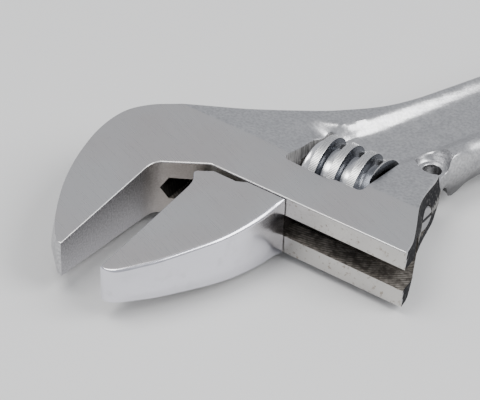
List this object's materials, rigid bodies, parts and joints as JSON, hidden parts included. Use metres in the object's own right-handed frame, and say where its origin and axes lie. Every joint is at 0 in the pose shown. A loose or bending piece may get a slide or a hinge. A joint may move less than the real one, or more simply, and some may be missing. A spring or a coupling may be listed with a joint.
{
  "type": "adjustable wrench",
  "caption": "Adjustable wrench with a fixed jaw, a sliding jaw on a rack turned by a thumb worm, a leaning handle and a hanging hole; grips nuts and bolt heads",
  "frame": {"origin": "centre of the fixed jaw's gripping face, in the middle of the thickness", "axes": "+X is the way the sliding jaw opens, +Y runs from the jaws towards the handle, +Z is through the thickness"},
  "size_m": [0.1354, 0.2455, 0.02],
  "materials": {
    "forged_body": "shot-blasted satin chrome plate, ground flat on the jaw faces",
    "ground_jaw": "finely ground satin chrome plate with bright broken edges",
    "worm_chrome": "bright plated steel with fine serrations on the thread's crest",
    "pin_steel": "dark turned steel",
    "spring_steel": "drawn spring wire"
  },
  "bodies": {
    "frame": {"body": "forged_body", "knurl_pin": "pin_steel", "knurl_spring": "spring_steel"},
    "jaw": {"movable_jaw": "ground_jaw"},
    "worm": {"knurl": "worm_chrome"}
  },
  "joints": [
    {"name": "jaw_slide", "type": "slide", "parent": "frame", "child": "jaw", "axis": [1, 0, 0], "range_m": [-0.0044, 0.031]},
    {"name": "knurl_turn", "type": "hinge", "parent": "frame", "child": "worm", "pos_m": [0.0356, 0.0464, 0], "axis": [1, 0, 0], "range_deg": [-2148, 306]}
  ],
  "couplings": [
    {"joint": "knurl_turn", "follows": "jaw_slide", "rad_per_m": -1208.3}
  ]
}
